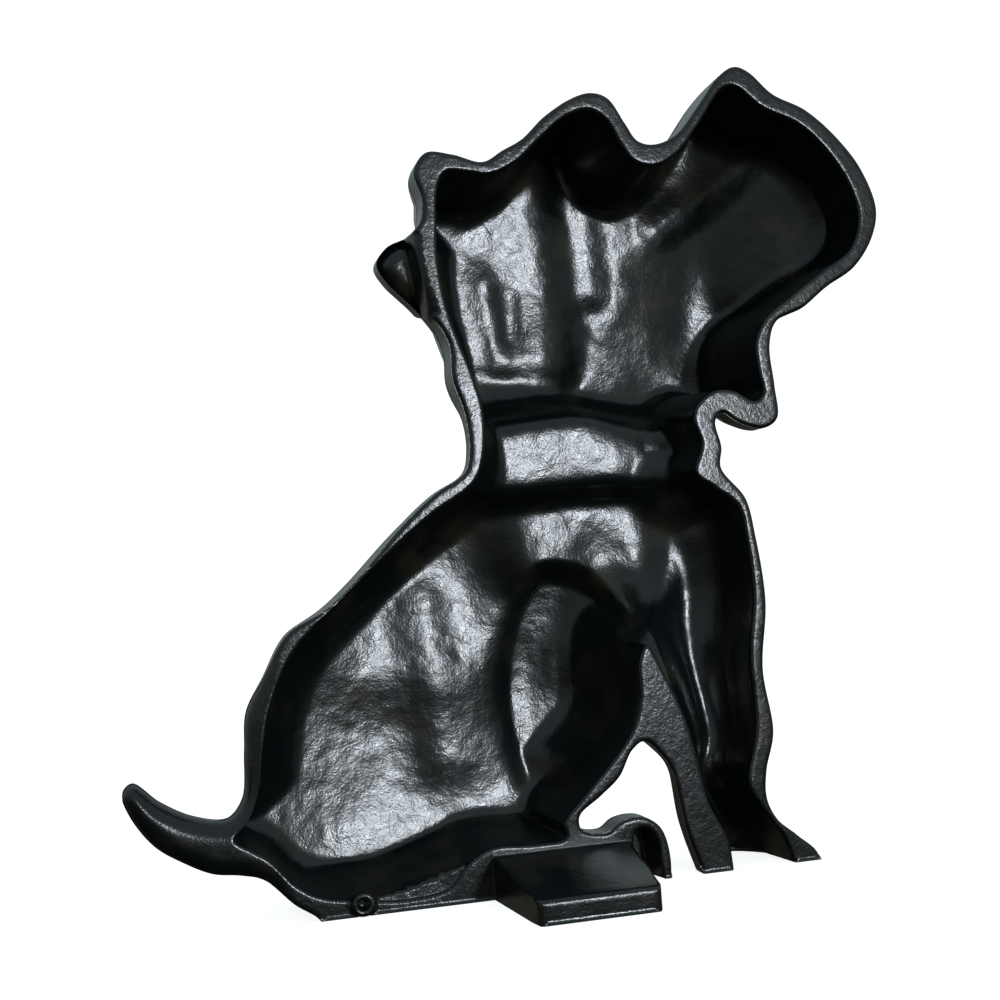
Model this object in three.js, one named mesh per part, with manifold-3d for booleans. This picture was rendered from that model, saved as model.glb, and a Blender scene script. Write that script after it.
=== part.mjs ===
// A cast iron dog of the doorstop kind: a seated pup in deep relief, hollow and open at the back.
// The flat rim of the hollow lies in the plane y = 0, the relief comes forward to -Y, the hollow opens to +Y, and a
// low wedge-shaped foot runs back from the bottom edge. Millimetres, +Z up, +X to the right as the dog faces you.
import * as THREE from "three";
import { mergeVertices } from "three/addons/utils/BufferGeometryUtils.js";
import Module from "manifold-3d";

const wasm = await Module();
wasm.setup();

// ---- Driving dimensions -------------------------------------------------------------------------------------------

const WALL = 4.6; // thickness of the iron between the hollow and the face
const RIM_STEP = 3; // spacing of the points along the rim
const MOUTH_STEP = 3.4; // spacing of the points along the mouth of the hollow
const DEEPEST = 70; // a depth that clears every form
const MARGIN = 6; // how far the relief blocks reach past the outline
const GROUND_CUT = 20; // height of the block that trims the feet flat

const FOOT = { left: -20.5, right: 16, height: 11, tipHeight: 6.2, length: 33, tipShrink: 0.16, root: 8, lip: 1.6 };
const BOSS = { x: 49.5, z: 3.1, radius: 3.1, bore: 1.4, proud: 1.6, boreDepth: 3.5, sides: 20 };
const LOBE = { x: 24.5, z: 164, width: 30, height: 34, turn: 9, drop: 9 }; // ear tip, whose back lies below the rim

// Spacing of the relief's grid lines over the head, which starts at this height, and over the body.
const HEAD_BOTTOM = 112;
const FACE_STEP = { head: 3.1, body: 4.6 };
const HOLLOW_STEP = { head: 4.6, body: 4.6 };

// How the relief rounds off towards an edge: the share of its depth kept at the edge, and how far in it is whole.
const FACE_EDGE = { share: 0.5, reach: 20 };
const HOLLOW_EDGE = { share: 0.55, reach: 15 };

// The floor of the hollow rises to the bottom rail at this slope, right of the front leg.
const RAIL = { height: 11, slope: 1.5, right: -22, least: 3 };

// ---- The rim and the mouth of the hollow --------------------------------------------------------------------------

// Outer edge of the rim as x, z points, anticlockwise as the dog faces you. Feet run below the ground and are trimmed.
const RIM = [
  // tip of the right ear, then its top edge up to the peak
  [24, 187.5], [20.5, 192.5], [13.5, 192], [5.5, 190], [0, 193], [-5.5, 196], [-12, 202], [-20, 207], [-25.5, 208.5],
  // dip of the crown between the ears
  [-30, 207], [-34.5, 200], [-37.5, 195.5], [-42, 194.5], [-48.5, 197], [-56, 205.5],
  // peak of the left ear and its wide round flap
  [-62.5, 213.5], [-67, 216], [-71, 214.5], [-77.5, 208.5], [-87, 204], [-96, 196], [-102.5, 187], [-106, 176],
  [-104, 168], [-98, 160], [-89, 154.5], [-81.5, 149], [-73.5, 145.5],
  // cheek and beard
  [-71, 139], [-71.5, 128], [-71.5, 119], [-67, 116.5], [-60, 118.5], [-55.5, 121.3], [-53.6, 119],
  // throat and chest
  [-54.8, 112], [-54.2, 106.5], [-60.5, 98], [-62.5, 88], [-64, 70], [-61.7, 52], [-63.3, 35], [-60.5, 25],
  // front paw
  [-60, 18], [-62.5, 12], [-68, 7], [-73.5, 1.5], [-73.5, -6], [-43, -6], [-40, 1.5],
  // the gap between the legs
  [-36.5, 13], [-34, 27.5], [-31, 32.5], [-27, 36], [-23.5, 34], [-19.5, 27.5], [-14, 23], [-8, 18.5], [-8.3, 15],
  [-15, 13.6],
  // hind paw
  [-19, 16], [-25, 16.5], [-29.5, 13.5], [-31.5, 8], [-31.5, 0], [-29, -6],
  // underside and rump
  [10, -6], [56, -6], [60.5, 0.5], [66, 4.5], [73, 10.8],
  // tail
  [78.5, 12.5], [85.5, 13.7], [92, 17], [99, 22], [104.5, 30], [106, 35.5], [103.5, 37.8], [97, 32.5], [89, 28.2],
  [81, 27], [77.3, 31],
  // back
  [76, 43], [75, 52.5], [70.5, 60.5], [64, 71], [54, 76.5], [45.5, 83.5], [34, 95.5], [24, 104], [16, 109],
  // back of the neck and the hanging tip of the right ear
  [14.3, 115], [15, 124.5], [17.5, 133], [18, 143], [24, 152.5], [32, 161], [34, 165.3], [31, 169.7], [23.7, 173.5],
  [22.3, 180],
];

// Edge of the hollow in the rim plane. Both feet are open to the ground.
const MOUTH = [
  // inside the right ear and along the crown
  [17.8, 184], [15.5, 187.3], [9.5, 187], [4, 186.5], [-3, 189.5], [-11, 196.5], [-18, 202], [-24.5, 203.8],
  [-29, 201], [-32.5, 194.5], [-36, 189.8], [-41.5, 188.5], [-48, 191.5], [-55, 199.5],
  // inside the left ear
  [-63, 209.8], [-66.5, 210.3], [-74, 204.5], [-84.5, 199.8], [-93, 191.5], [-98.5, 182], [-100.3, 173.5],
  [-97, 165], [-88, 159], [-78.5, 152.5], [-70, 146],
  // cheek, lip of the beard and throat
  [-66.8, 140], [-67, 132], [-67.8, 126], [-65.3, 124], [-59.5, 127], [-54, 127.3], [-48.5, 123.5], [-47.3, 119.5],
  [-49, 113], [-46.7, 105.5], [-52, 101],
  // chest and the outer side of the front leg
  [-58, 96], [-59.6, 88], [-60.5, 72], [-58.3, 56], [-58.3, 36], [-55, 22], [-58.5, 15], [-64.5, 5.5], [-66, -8],
  // the front leg's own channel, round the strip of rim that divides it from the haunch
  [-51.5, -8], [-48, 8.5], [-43.5, 18.5], [-41.3, 30], [-38.5, 41.5], [-34, 52.5], [-29.5, 61], [-27, 57], [-26.5, 47],
  [-24, 39.5], [-18, 32], [-10, 24], [-3.5, 17], [-4, 13.5],
  // top of the bottom rail, over the wedge foot and down to the rump
  [4, 12.7], [16, 13], [22.5, 9.5], [27, 4.5], [38, 2.8], [52, 4.3], [60, 6], [66, 9.8], [72, 16.5],
  // root of the tail and the inside of the back
  [76.5, 19.5], [80, 22.2], [76.5, 26], [73.5, 32.5], [71.5, 44], [69, 54], [63.5, 65.5], [52.5, 76.5], [39, 88],
  [25.5, 98.5], [14, 106],
  // neck and the back of the right ear
  [11, 112], [10, 124], [12.5, 135], [15.5, 144], [18, 153], [19.3, 165], [19, 173],
];

// Small pocket in the hind paw, open to the ground.
const PAW_POCKET = [[-21.8, -8], [-21.6, 8], [-22.8, 13], [-25.5, 13.8], [-28, 11], [-28.8, 5], [-28.4, -8]];
const PAW_POCKET_DEPTH = 10;

// ---- Forms of the relief ------------------------------------------------------------------------------------------

// Each form is a smooth swelling over an ellipse: centre [x, z], half-lengths [a, b], turn in degrees, the depth of
// the hollow under its middle, and the share of the ellipse that is its level top.
const FORMS = {
  crown: { at: [-33, 171], size: [50, 44], turn: 0, depth: 46, level: 0.45 },
  leftEar: { at: [-83, 176], size: [38, 42], turn: -30, depth: 23, level: 0.5 },
  muzzle: { at: [-58, 141], size: [32, 33], turn: 0, depth: 37, level: 0.45 },
  rightEar: { at: [5, 171], size: [38, 32], turn: 0, depth: 33, level: 0.45 },
  cheek: { at: [-9, 147], size: [36, 36], turn: 0, depth: 32, level: 0.4 },
  neck: { at: [-21, 114], size: [60, 34], turn: 0, depth: 21, level: 0.6 },
  shoulder: { at: [-24, 86], size: [52, 38], turn: 0, depth: 27, level: 0.5 },
  back: { at: [18, 74], size: [62, 40], turn: -42, depth: 28, level: 0.4 },
  rump: { at: [36, 44], size: [52, 54], turn: 0, depth: 31, level: 0.35 },
  haunch: { at: [-13, 46], size: [27, 44], turn: -3, depth: 38, level: 0.68 },
  foreleg: { at: [-51, 52], size: [22, 74], turn: -4, depth: 25, level: 0.4 },
  frontPaw: { at: [-62, 4], size: [26, 25], turn: 0, depth: 24, level: 0.4 },
  hindPaw: { at: [-24, 4], size: [17, 24], turn: 0, depth: 24, level: 0.4 },
};
const BLEND = 8; // how sharply neighbouring forms meet

// The fold that divides the front leg from the haunch.
const DIVIDER = { from: [-25, 82], to: [-38, 30], width: 5 };

// What stands out on the face of the casting alone: the same kind of form, laid on top.
const FEATURES = {
  snout: { at: [-58.5, 142], size: [21, 18], turn: -16, depth: 9, level: 0.2 },
  nose: { at: [-57, 152], size: [9.5, 7.5], turn: -16, depth: 5, level: 0.35 },
  leftBrow: { at: [-65, 178], size: [13, 8], turn: 10, depth: 3.5, level: 0 },
  rightBrow: { at: [-34, 173], size: [14, 8], turn: -34, depth: 3.5, level: 0 },
  rightEarFlap: { at: [7, 176], size: [38, 22], turn: -24, depth: 8, level: 0.55 },
  leftEarHem: { at: [-90, 172], size: [18, 30], turn: 14, depth: 5, level: 0.1 },
  chest: { at: [-44, 94], size: [24, 20], turn: -20, depth: 5, level: 0.1 },
  frontToes: { at: [-66, 3], size: [16, 14], turn: 0, depth: 6, level: 0.4 },
  hindToes: { at: [-26, 3], size: [12, 16], turn: 0, depth: 5, level: 0.4 },
};
const EYES = [[-64, 168], [-38, 161]];
const EYE = { radius: 4.2, rise: 4, socketRadius: 8.5, socketDepth: 4 };
const FACE_DEPTH = 55; // the foremost point of the face, at the nose

// Creases pressed into the face: from, to, width and depth.
const CREASES = [
  { from: [-59, 146], to: [-61, 138], width: 2.2, depth: 3 },
  { from: [-61, 138], to: [-74, 140], width: 2.4, depth: 3.5 },
  { from: [-61, 138], to: [-45, 132], width: 2.4, depth: 3.5 },
  { from: [-66.5, -2], to: [-66, 10], width: 2, depth: 3 },
  { from: [-60.5, -2], to: [-60, 10], width: 2, depth: 3 },
  { from: [-26, -2], to: [-26, 12], width: 2, depth: 3 },
  // the lower edge of the right ear, and the line of the jaw under it
  { from: [-18, 160], to: [12, 151], width: 4, depth: 3 },
];

const DEGREE = Math.PI / 180;

// Goes smoothly from 0 at low to 1 at high.
function ease(low, high, value) {
  const t = Math.min(1, Math.max(0, (value - low) / (high - low)));
  return t * t * (3 - 2 * t);
}

// Height of one form at x, z, from 0 outside its ellipse to 1 on its level top. The ellipse can be grown by a margin.
function swelling(form, x, z, grow = 0) {
  const cos = Math.cos(form.turn * DEGREE);
  const sin = Math.sin(form.turn * DEGREE);
  const dx = x - form.at[0];
  const dz = z - form.at[1];
  const u = (dx * cos + dz * sin) / (form.size[0] + grow);
  const v = (dz * cos - dx * sin) / (form.size[1] + grow);
  return 1 - ease(form.level, 1, Math.hypot(u, v));
}

// All the forms at x, z, blended into one surface.
function body(x, z, grow, deeper) {
  let sum = 0;
  for (const form of Object.values(FORMS)) sum += (swelling(form, x, z, grow) * (form.depth + deeper)) ** BLEND;
  return sum ** (1 / BLEND);
}

function distanceToSegment(x, z, [ax, az], [bx, bz]) {
  const along = ((x - ax) * (bx - ax) + (z - az) * (bz - az)) / ((bx - ax) ** 2 + (bz - az) ** 2);
  const t = Math.min(1, Math.max(0, along));
  return Math.hypot(x - ax - t * (bx - ax), z - az - t * (bz - az));
}

// A soft line from 1 on the segment to 0 a few widths away.
function line({ from, to, width }, x, z) {
  return Math.exp(-((distanceToSegment(x, z, from, to) / width) ** 2));
}

// Share of the full depth that is left near the edge of a loop.
function edgeShare(points, x, z, { share, reach }) {
  let nearest = reach;
  points.forEach((p, i) => {
    const q = points[(i + 1) % points.length];
    nearest = Math.min(nearest, distanceToSegment(x, z, [p.x, p.y], [q.x, q.y]));
  });
  return share + (1 - share) * (1 - (1 - nearest / reach) ** 2);
}

// Depth of the hollow's floor below the rim plane.
function hollowDepth(x, z) {
  const depth = body(x, z, 0, 0) * (1 - 0.8 * line(DIVIDER, x, z));
  const rail = RAIL.least + RAIL.slope * Math.max(0, z - RAIL.height) + 60 * ease(RAIL.right, RAIL.right - 12, x);
  return Math.max(1, Math.min(depth, rail)) * edgeShare(mouth, x, z, HOLLOW_EDGE);
}

// Depth of the face in front of the rim plane.
function faceDepth(x, z) {
  let depth = body(x, z, 5, WALL) * (1 - 0.35 * line(DIVIDER, x, z)) * edgeShare(rim, x, z, FACE_EDGE);
  for (const form of Object.values(FEATURES)) depth += form.depth * swelling(form, x, z);
  for (const [ex, ez] of EYES) {
    const r = Math.hypot(x - ex, z - ez);
    depth += EYE.rise * Math.exp(-((r / EYE.radius) ** 4)) - EYE.socketDepth * Math.exp(-((r / EYE.socketRadius) ** 2));
  }
  for (const crease of CREASES) depth -= crease.depth * line(crease, x, z);
  return Math.min(FACE_DEPTH, Math.max(depth, hollowDepth(x, z) + WALL * 0.8, 4));
}

// ---- Solids -------------------------------------------------------------------------------------------------------

function solid(geometry) {
  const bare = geometry.clone();
  bare.deleteAttribute("normal");
  bare.deleteAttribute("uv");
  const merged = mergeVertices(bare, 1e-4);
  const vertProperties = new Float32Array(merged.attributes.position.array);
  const triVerts = new Uint32Array(merged.index.array);
  return new wasm.Manifold(new wasm.Mesh({ numProp: 3, vertProperties, triVerts }));
}

function geometryOf(manifold) {
  const mesh = manifold.getMesh();
  const geometry = new THREE.BufferGeometry();
  geometry.setAttribute("position", new THREE.BufferAttribute(new Float32Array(mesh.vertProperties), 3));
  geometry.setIndex(new THREE.BufferAttribute(new Uint32Array(mesh.triVerts), 1));
  return geometry;
}

// Closed smooth loop through the points, sampled at an even spacing.
function loop(points, spacing) {
  const knots = points.map(([x, z]) => new THREE.Vector3(x, z, 0));
  const curve = new THREE.CatmullRomCurve3(knots, true, "centripetal");
  curve.arcLengthDivisions = points.length * 20;
  const count = Math.round(curve.getLength() / spacing);
  return curve.getSpacedPoints(count).slice(0, count).map((p) => new THREE.Vector2(p.x, p.y));
}

// Straight-sided prism over a loop, from y = front to y = back.
function prism(points, front, back) {
  const geometry = new THREE.ExtrudeGeometry(new THREE.Shape(points), { depth: back - front, bevelEnabled: false });
  return solid(geometry.rotateX(Math.PI / 2).translate(0, back, 0));
}

// Evenly spaced lines from low to high, about a step apart.
function gridLines(low, high, step) {
  const count = Math.round((high - low) / step);
  return Array.from({ length: count + 1 }, (_, i) => low + ((high - low) * i) / count);
}

// Block that fills everything between y = back and the relief surface y = -depth(x, z).
function reliefBlock(depth, bounds, back, step) {
  const xs = gridLines(bounds.min.x - MARGIN, bounds.max.x + MARGIN, step.head);
  const zs = gridLines(bounds.min.y - MARGIN, HEAD_BOTTOM, step.body).slice(0, -1);
  zs.push(...gridLines(HEAD_BOTTOM, bounds.max.y + MARGIN, step.head));
  const positions = [];
  const index = [];
  const at = (i, j) => i * zs.length + j;
  for (const x of xs) for (const z of zs) positions.push(x, -depth(x, z), z);
  for (let i = 0; i < xs.length - 1; i++) {
    for (let j = 0; j < zs.length - 1; j++) {
      const [a, b, c, d] = [at(i, j), at(i + 1, j), at(i + 1, j + 1), at(i, j + 1)];
      const rise = (k, m) => Math.abs(positions[3 * k + 1] - positions[3 * m + 1]);
      // each square is split along its more level diagonal
      if (rise(a, c) < rise(b, d)) index.push(a, b, c, a, c, d);
      else index.push(a, b, d, b, c, d);
    }
  }
  const edge = [];
  for (let i = 0; i < xs.length - 1; i++) edge.push(at(i, 0));
  for (let j = 0; j < zs.length - 1; j++) edge.push(at(xs.length - 1, j));
  for (let i = xs.length - 1; i > 0; i--) edge.push(at(i, zs.length - 1));
  for (let j = zs.length - 1; j > 0; j--) edge.push(at(0, j));
  const first = positions.length / 3;
  for (const k of edge) positions.push(positions[3 * k], back, positions[3 * k + 2]);
  const middle = positions.length / 3;
  positions.push((xs[0] + xs.at(-1)) / 2, back, (zs[0] + zs.at(-1)) / 2);
  edge.forEach((k, n) => {
    const next = (n + 1) % edge.length;
    index.push(k, first + n, edge[next], edge[next], first + n, first + next);
    index.push(first + n, middle, first + next);
  });
  const geometry = new THREE.BufferGeometry();
  geometry.setAttribute("position", new THREE.Float32BufferAttribute(positions, 3));
  geometry.setIndex(index);
  return solid(geometry);
}

// The wedge foot: its side profile pushed across, then narrowed towards the tip.
function wedgeFoot() {
  const { left, right, height, tipHeight, length, tipShrink, root, lip } = FOOT;
  const side = new THREE.Shape();
  side.moveTo(-root, 0);
  side.lineTo(length - lip, 0);
  side.lineTo(length, lip);
  side.lineTo(length, tipHeight - lip);
  side.lineTo(length - lip, tipHeight);
  side.lineTo(0, height);
  side.lineTo(-root, height);
  const geometry = new THREE.ExtrudeGeometry(side, { depth: right - left, bevelEnabled: false });
  geometry.applyMatrix4(new THREE.Matrix4().set(0, 0, 1, left, 1, 0, 0, 0, 0, 1, 0, 0, 0, 0, 0, 1));
  const position = geometry.attributes.position;
  const middle = (left + right) / 2;
  for (let i = 0; i < position.count; i++) {
    const narrow = 1 - tipShrink * Math.max(0, position.getY(i) / length);
    position.setX(i, middle + (position.getX(i) - middle) * narrow);
  }
  return solid(geometry);
}

function cylinderAlongY(x, z, radius, front, back, sides) {
  const geometry = new THREE.CylinderGeometry(radius, radius, back - front, sides);
  return solid(geometry.translate(x, (front + back) / 2, z));
}

const rim = loop(RIM, RIM_STEP);
const mouth = loop(MOUTH, MOUTH_STEP);

function castDog() {
  const bounds = new THREE.Box2().setFromPoints(rim);
  const face = prism(rim, -DEEPEST, 0).intersect(reliefBlock(faceDepth, bounds, 5, FACE_STEP));
  const hollow = prism(mouth, -DEEPEST, 2).intersect(reliefBlock(hollowDepth, bounds, 5, HOLLOW_STEP));
  const pawPocket = prism(loop(PAW_POCKET, MOUTH_STEP), -PAW_POCKET_DEPTH, 2);
  const earTip = new THREE.BoxGeometry(LOBE.width, 2 * LOBE.drop, LOBE.height);
  earTip.translate(LOBE.width / 2, 0, 0).rotateY(LOBE.turn * DEGREE).translate(LOBE.x, 0, LOBE.z);
  const ground = new THREE.BoxGeometry(400, 400, GROUND_CUT).translate(0, 0, -GROUND_CUT / 2);
  return face
    .subtract(hollow)
    .subtract(pawPocket)
    .subtract(solid(earTip))
    .add(wedgeFoot())
    .add(cylinderAlongY(BOSS.x, BOSS.z, BOSS.radius, -2, BOSS.proud, BOSS.sides))
    .subtract(cylinderAlongY(BOSS.x, BOSS.z, BOSS.bore, BOSS.proud - BOSS.boreDepth, BOSS.proud + 1, BOSS.sides))
    .subtract(solid(ground));
}

// ---- The part -----------------------------------------------------------------------------------------------------

const enamelledIron = new THREE.MeshStandardMaterial({ color: 0x0c0e0f, roughness: 0.3, metalness: 0.1 });

const casting = new THREE.Mesh(geometryOf(castDog()), enamelledIron);
casting.name = "dog_casting";
casting.geometry.computeBoundingBox();
const box = casting.geometry.boundingBox;
casting.position.set(-(box.min.x + box.max.x) / 2, -(box.min.y + box.max.y) / 2, -box.min.z);

const dog = new THREE.Group();
dog.add(casting);

export default dog;
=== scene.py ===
# %% [markdown]
# # A cast iron pup, open at the back
#
# The object is one casting of the doorstop kind: a seated pup in deep relief whose back is open, with a flat rim
# round the hollow and a low wedge foot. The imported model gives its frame: every measure below is in millimetres in
# the casting's own outline frame, and is turned into metres and moved into the row's frame at the very end.

import bpy
import numpy as np
from mathutils import Matrix, Vector
from mathutils.geometry import delaunay_2d_cdt


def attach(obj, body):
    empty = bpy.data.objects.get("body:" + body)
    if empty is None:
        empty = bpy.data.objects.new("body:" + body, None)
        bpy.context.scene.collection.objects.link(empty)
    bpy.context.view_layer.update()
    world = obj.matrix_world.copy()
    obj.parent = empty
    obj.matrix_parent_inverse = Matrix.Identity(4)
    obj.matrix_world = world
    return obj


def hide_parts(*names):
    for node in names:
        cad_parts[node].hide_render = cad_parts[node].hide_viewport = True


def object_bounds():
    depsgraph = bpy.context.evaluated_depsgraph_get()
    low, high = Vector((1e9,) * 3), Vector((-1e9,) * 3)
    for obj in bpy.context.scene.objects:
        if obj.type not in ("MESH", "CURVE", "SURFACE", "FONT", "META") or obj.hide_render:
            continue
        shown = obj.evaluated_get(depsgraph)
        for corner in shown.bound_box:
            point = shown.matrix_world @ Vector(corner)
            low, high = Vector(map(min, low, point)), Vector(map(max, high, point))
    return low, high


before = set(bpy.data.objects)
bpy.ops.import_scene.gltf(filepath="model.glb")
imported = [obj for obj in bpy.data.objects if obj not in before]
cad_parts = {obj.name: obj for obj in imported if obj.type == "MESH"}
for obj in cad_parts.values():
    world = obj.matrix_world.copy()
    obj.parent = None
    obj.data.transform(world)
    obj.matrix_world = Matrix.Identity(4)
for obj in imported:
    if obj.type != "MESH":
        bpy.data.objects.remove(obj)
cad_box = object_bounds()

MM = 0.001
print("casting, packed size in mm:", [round((high - low) / MM, 1) for low, high in zip(*cad_box)])

# %% [markdown]
# ## The outline and the mouth of the hollow
#
# A pattern maker would cut the outline as one flowing line. It could be a Blender curve, a chain of arcs or a
# spline worked out in numpy. The last is chosen, because the same points then serve for the rim, for the walls of
# the hollow and for measuring how far inside the edge any point lies. The knots are the ones of the solid casting.

# %% Knots of the rim's outer edge, as x, z, anticlockwise as the dog faces you
RIM = [
    # tip of the right ear, then its top edge up to the peak
    (24, 187.5), (20.5, 192.5), (13.5, 192), (5.5, 190), (0, 193), (-5.5, 196), (-12, 202), (-20, 207), (-25.5, 208.5),
    # dip of the crown between the ears
    (-30, 207), (-34.5, 200), (-37.5, 195.5), (-42, 194.5), (-48.5, 197), (-56, 205.5),
    # peak of the left ear and its wide round flap
    (-62.5, 213.5), (-67, 216), (-71, 214.5), (-77.5, 208.5), (-87, 204), (-96, 196), (-102.5, 187), (-106, 176),
    (-104, 168), (-98, 160), (-89, 154.5), (-81.5, 149), (-73.5, 145.5),
    # cheek and beard
    (-71, 139), (-71.5, 128), (-71.5, 119), (-67, 116.5), (-60, 118.5), (-55.5, 121.3), (-53.6, 119),
    # throat and chest
    (-54.8, 112), (-54.2, 106.5), (-60.5, 98), (-62.5, 88), (-64, 70), (-61.7, 52), (-63.3, 35), (-60.5, 25),
    # front paw
    (-60, 18), (-62.5, 12), (-68, 7), (-73.5, 1.5), (-73.5, -6), (-43, -6), (-40, 1.5),
    # the gap between the legs
    (-36.5, 13), (-34, 27.5), (-31, 32.5), (-27, 36), (-23.5, 34), (-19.5, 27.5), (-14, 23), (-8, 18.5), (-8.3, 15),
    (-15, 13.6),
    # hind paw
    (-19, 16), (-25, 16.5), (-29.5, 13.5), (-31.5, 8), (-31.5, 0), (-29, -6),
    # underside and rump
    (10, -6), (56, -6), (60.5, 0.5), (66, 4.5), (73, 10.8),
    # tail
    (78.5, 12.5), (85.5, 13.7), (92, 17), (99, 22), (104.5, 30), (106, 35.5), (103.5, 37.8), (97, 32.5), (89, 28.2),
    (81, 27), (77.3, 31),
    # back
    (76, 43), (75, 52.5), (70.5, 60.5), (64, 71), (54, 76.5), (45.5, 83.5), (34, 95.5), (24, 104), (16, 109),
    # back of the neck and the hanging tip of the right ear
    (14.3, 115), (15, 124.5), (17.5, 133), (18, 143), (24, 152.5), (32, 161), (34, 165.3), (31, 169.7), (23.7, 173.5),
    (22.3, 180),
]

# %% Knots of the mouth of the hollow; both feet are open to the ground
MOUTH = [
    # inside the right ear and along the crown
    (17.8, 184), (15.5, 187.3), (9.5, 187), (4, 186.5), (-3, 189.5), (-11, 196.5), (-18, 202), (-24.5, 203.8),
    (-29, 201), (-32.5, 194.5), (-36, 189.8), (-41.5, 188.5), (-48, 191.5), (-55, 199.5),
    # inside the left ear
    (-63, 209.8), (-66.5, 210.3), (-74, 204.5), (-84.5, 199.8), (-93, 191.5), (-98.5, 182), (-100.3, 173.5),
    (-97, 165), (-88, 159), (-78.5, 152.5), (-70, 146),
    # cheek, lip of the beard and throat
    (-66.8, 140), (-67, 132), (-67.8, 126), (-65.3, 124), (-59.5, 127), (-54, 127.3), (-48.5, 123.5), (-47.3, 119.5),
    (-49, 113), (-46.7, 105.5), (-52, 101),
    # chest and the outer side of the front leg
    (-58, 96), (-59.6, 88), (-60.5, 72), (-58.3, 56), (-58.3, 36), (-55, 22), (-58.5, 15), (-64.5, 5.5), (-66, -8),
    # the front leg's own channel, round the strip of rim that divides it from the haunch
    (-51.5, -8), (-48, 8.5), (-43.5, 18.5), (-41.3, 30), (-38.5, 41.5), (-34, 52.5), (-29.5, 61), (-27, 57),
    (-26.5, 47), (-24, 39.5), (-18, 32), (-10, 24), (-3.5, 17), (-4, 13.5),
    # top of the bottom rail, over the wedge foot and down to the rump
    (4, 12.7), (16, 13), (22.5, 9.5), (27, 4.5), (38, 2.8), (52, 4.3), (60, 6), (66, 9.8), (72, 16.5),
    # root of the tail and the inside of the back
    (76.5, 19.5), (80, 22.2), (76.5, 26), (73.5, 32.5), (71.5, 44), (69, 54), (63.5, 65.5), (52.5, 76.5), (39, 88),
    (25.5, 98.5), (14, 106),
    # neck and the back of the right ear
    (11, 112), (10, 124), (12.5, 135), (15.5, 144), (18, 153), (19.3, 165), (19, 173),
]

# %% Pocket in the hind paw, open to the ground
PAW_POCKET = [(-21.8, -8), (-21.6, 8), (-22.8, 13), (-25.5, 13.8), (-28, 11), (-28.8, 5), (-28.4, -8)]
PAW_POCKET_DEPTH = 10

# %% A smooth closed line through knots
SAMPLES_PER_KNOT = 40


def evenly(line, spacing):
    """Closed line resampled: points at equal arc length, about one spacing apart."""
    closed = np.vstack([line, line[:1]])
    travelled = np.concatenate([[0], np.cumsum(np.linalg.norm(np.diff(closed, axis=0), axis=1))])
    count = round(travelled[-1] / spacing)
    stops = np.arange(count) * travelled[-1] / count
    return np.column_stack([np.interp(stops, travelled, closed[:, k]) for k in (0, 1)])


def smooth_loop(knots, spacing):
    """Centripetal Catmull-Rom line: each stretch is a cubic whose end slopes come from the neighbouring knots,
    weighted by the square roots of the distances between them."""
    p1 = np.array(knots, float)
    p0, p2, p3 = (np.roll(p1, shift, axis=0) for shift in (1, -1, -2))
    d0, d1, d2 = (np.sqrt(np.linalg.norm(b - a, axis=1))[:, None] for a, b in ((p0, p1), (p1, p2), (p2, p3)))
    leave = ((p1 - p0) / d0 - (p2 - p0) / (d0 + d1) + (p2 - p1) / d1) * d1
    arrive = ((p2 - p1) / d1 - (p3 - p1) / (d1 + d2) + (p3 - p2) / d2) * d1
    t = np.linspace(0, 1, SAMPLES_PER_KNOT, endpoint=False)[None, :, None]
    a, b, m, n = (v[:, None, :] for v in (p1, p2, leave, arrive))
    curve = (2 * a - 2 * b + m + n) * t**3 + (3 * b - 3 * a - 2 * m - n) * t**2 + m * t + a
    return evenly(curve.reshape(-1, 2), spacing)


EDGE_STEP = 0.85  # spacing of the points along every edge
rim_loop = smooth_loop(RIM, EDGE_STEP)
mouth_loop = smooth_loop(MOUTH, EDGE_STEP)
pocket_loop = smooth_loop(PAW_POCKET, EDGE_STEP)
print("points on the rim, the mouth and the paw pocket:", len(rim_loop), len(mouth_loop), len(pocket_loop))

# %% Distance to an edge
CHUNK = 2500  # points measured at a time, which keeps the arrays small


def inside_distance(x, z, line):
    """Distance to the nearest stretch of a closed line, positive inside it: the foot of the perpendicular is held
    within each stretch, and a point is inside if a level ray from it crosses the line an odd number of times."""
    ax, az = line.T
    bx, bz = np.roll(line, -1, axis=0).T
    dx, dz = bx - ax, bz - az
    result = np.empty(len(x))
    for start in range(0, len(x), CHUNK):
        px, pz = (v[start:start + CHUNK, None] for v in (x, z))
        along = np.clip(((px - ax) * dx + (pz - az) * dz) / (dx * dx + dz * dz), 0, 1)
        nearest = np.sqrt(((px - ax - along * dx) ** 2 + (pz - az - along * dz) ** 2).min(axis=1))
        straddles = (az > pz) != (bz > pz)
        with np.errstate(divide="ignore", invalid="ignore"):
            crossed = straddles & (px < ax + dx * (pz - az) / dz)
        result[start:start + CHUNK] = np.where(crossed.sum(axis=1) % 2, nearest, -nearest)
    return result


# %% [markdown]
# ## The relief
#
# The hollow's floor is a set of broad bowls, one for each part of the dog, and the face of the casting follows them a
# wall's thickness further out. It could be sculpted by hand or built from metaballs. A depth worked out from named
# bowls is chosen, because the hollow then follows the face as it does in a casting.

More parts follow.
